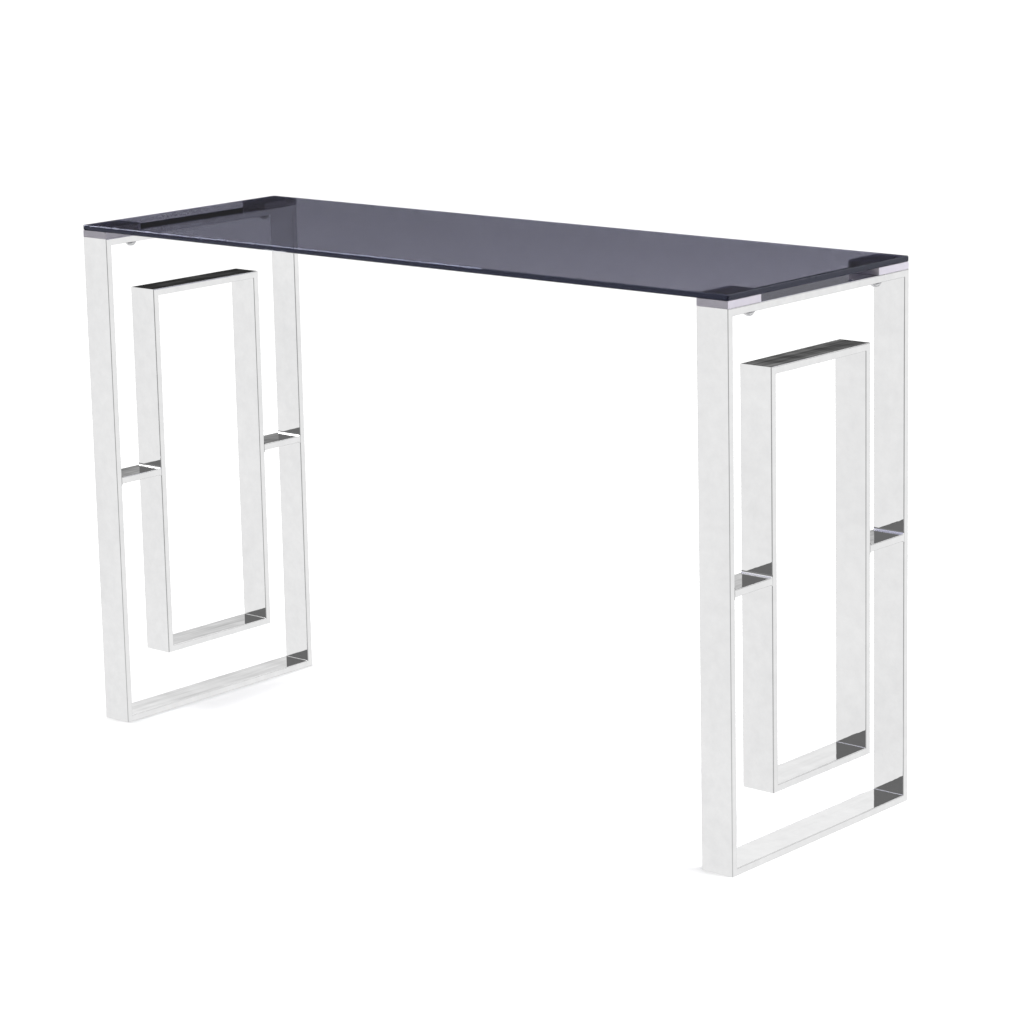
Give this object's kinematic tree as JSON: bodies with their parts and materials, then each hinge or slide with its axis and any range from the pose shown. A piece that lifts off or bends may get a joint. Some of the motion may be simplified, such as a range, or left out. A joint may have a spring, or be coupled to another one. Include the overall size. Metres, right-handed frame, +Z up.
{
  "type": "console table",
  "caption": "Narrow console table: tinted glass top on milky acrylic spacer blocks over two polished flat-tube leg frames, each with a smaller frame held inside it.",
  "frame": {"origin": "on the floor under the middle of the glass top", "axes": "+X along the length of the top, to the right seen from the front, +Y to the back, +Z up"},
  "size_m": [1.2, 0.4, 0.76],
  "materials": {
    "tinted_glass": "smoked blue-grey toughened glass, polished flat with a fine bevel round the edges",
    "milky_acrylic": "milky cast acrylic with a faint lavender tint, satin",
    "polished_steel": "mirror-polished stainless tube, welds ground and polished",
    "screw_steel": "bright plated steel",
    "washer_zinc": "bright zinc plate",
    "insert_brass": "turned",
    "soft_nylon": "translucent moulded nylon"
  },
  "bodies": {
    "root": {"glass_top": "tinted_glass", "spacer_front_left": "milky_acrylic", "spacer_rear_left": "milky_acrylic", "spacer_front_right": "milky_acrylic", "spacer_rear_right": "milky_acrylic", "left_front_post": "polished_steel", "left_rear_post": "polished_steel", "left_top_rail": "polished_steel", "left_bottom_rail": "polished_steel", "left_inner_front_stile": "polished_steel", "left_inner_rear_stile": "polished_steel", "left_inner_top_rail": "polished_steel", "left_inner_bottom_rail": "polished_steel", "left_front_stub": "polished_steel", "left_rear_stub": "polished_steel", "right_front_post": "polished_steel", "right_rear_post": "polished_steel", "right_top_rail": "polished_steel", "right_bottom_rail": "polished_steel", "right_inner_front_stile": "polished_steel", "right_inner_rear_stile": "polished_steel", "right_inner_top_rail": "polished_steel", "right_inner_bottom_rail": "polished_steel", "right_front_stub": "polished_steel", "right_rear_stub": "polished_steel", "threaded_inserts": "insert_brass", "screws": "screw_steel", "washers": "washer_zinc", "soft_washers": "soft_nylon"}
  },
  "joints": []
}
